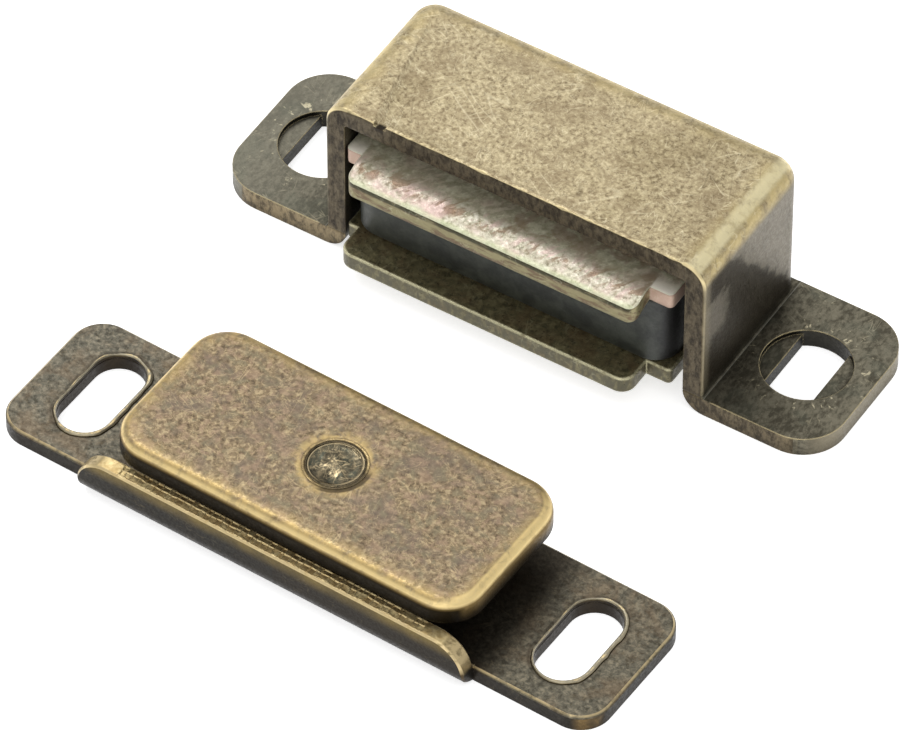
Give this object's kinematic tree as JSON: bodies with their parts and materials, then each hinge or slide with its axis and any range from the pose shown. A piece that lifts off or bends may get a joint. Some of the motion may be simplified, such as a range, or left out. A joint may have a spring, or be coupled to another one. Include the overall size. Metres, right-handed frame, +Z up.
{
  "type": "magnetic catch",
  "caption": "Magnetic catch: a sheet-steel case holds a block magnet between pole plates, and a slotted keeper with a swivelling strike plate meets it.",
  "frame": {"origin": "middle of the case's footprint, on the underside that it is screwed down by", "axes": "+X along the case and its screw holes, -Y out of the case's mouth towards the keeper, +Z up from the mounting face"},
  "size_m": [0.0503, 0.0437, 0.0143],
  "materials": {
    "case_steel": "worn yellow-passivated zinc plate",
    "ferrite": "dull sintered ferrite",
    "pole_steel": "iridescent zinc plate",
    "lower_pole_steel": "olive-brown passivated zinc plate",
    "keeper_steel": "dark passivated zinc plate with rusty patches",
    "strike_steel": "golden passivated zinc plate, mottled",
    "rivet_steel": "dull zinc plate"
  },
  "bodies": {
    "root": {"case": "case_steel", "magnet": "ferrite", "upper_pole_plate": "pole_steel", "lower_pole_plate": "lower_pole_steel", "keeper_base": "keeper_steel", "strike_rivet": "rivet_steel"},
    "strike": {"strike_plate": "strike_steel"}
  },
  "joints": [
    {"name": "strike_swivel", "type": "hinge", "parent": "root", "child": "strike", "pos_m": [-0.0004, -0.0289, 0.00535], "axis": [0, 0, 1], "continuous": true}
  ]
}
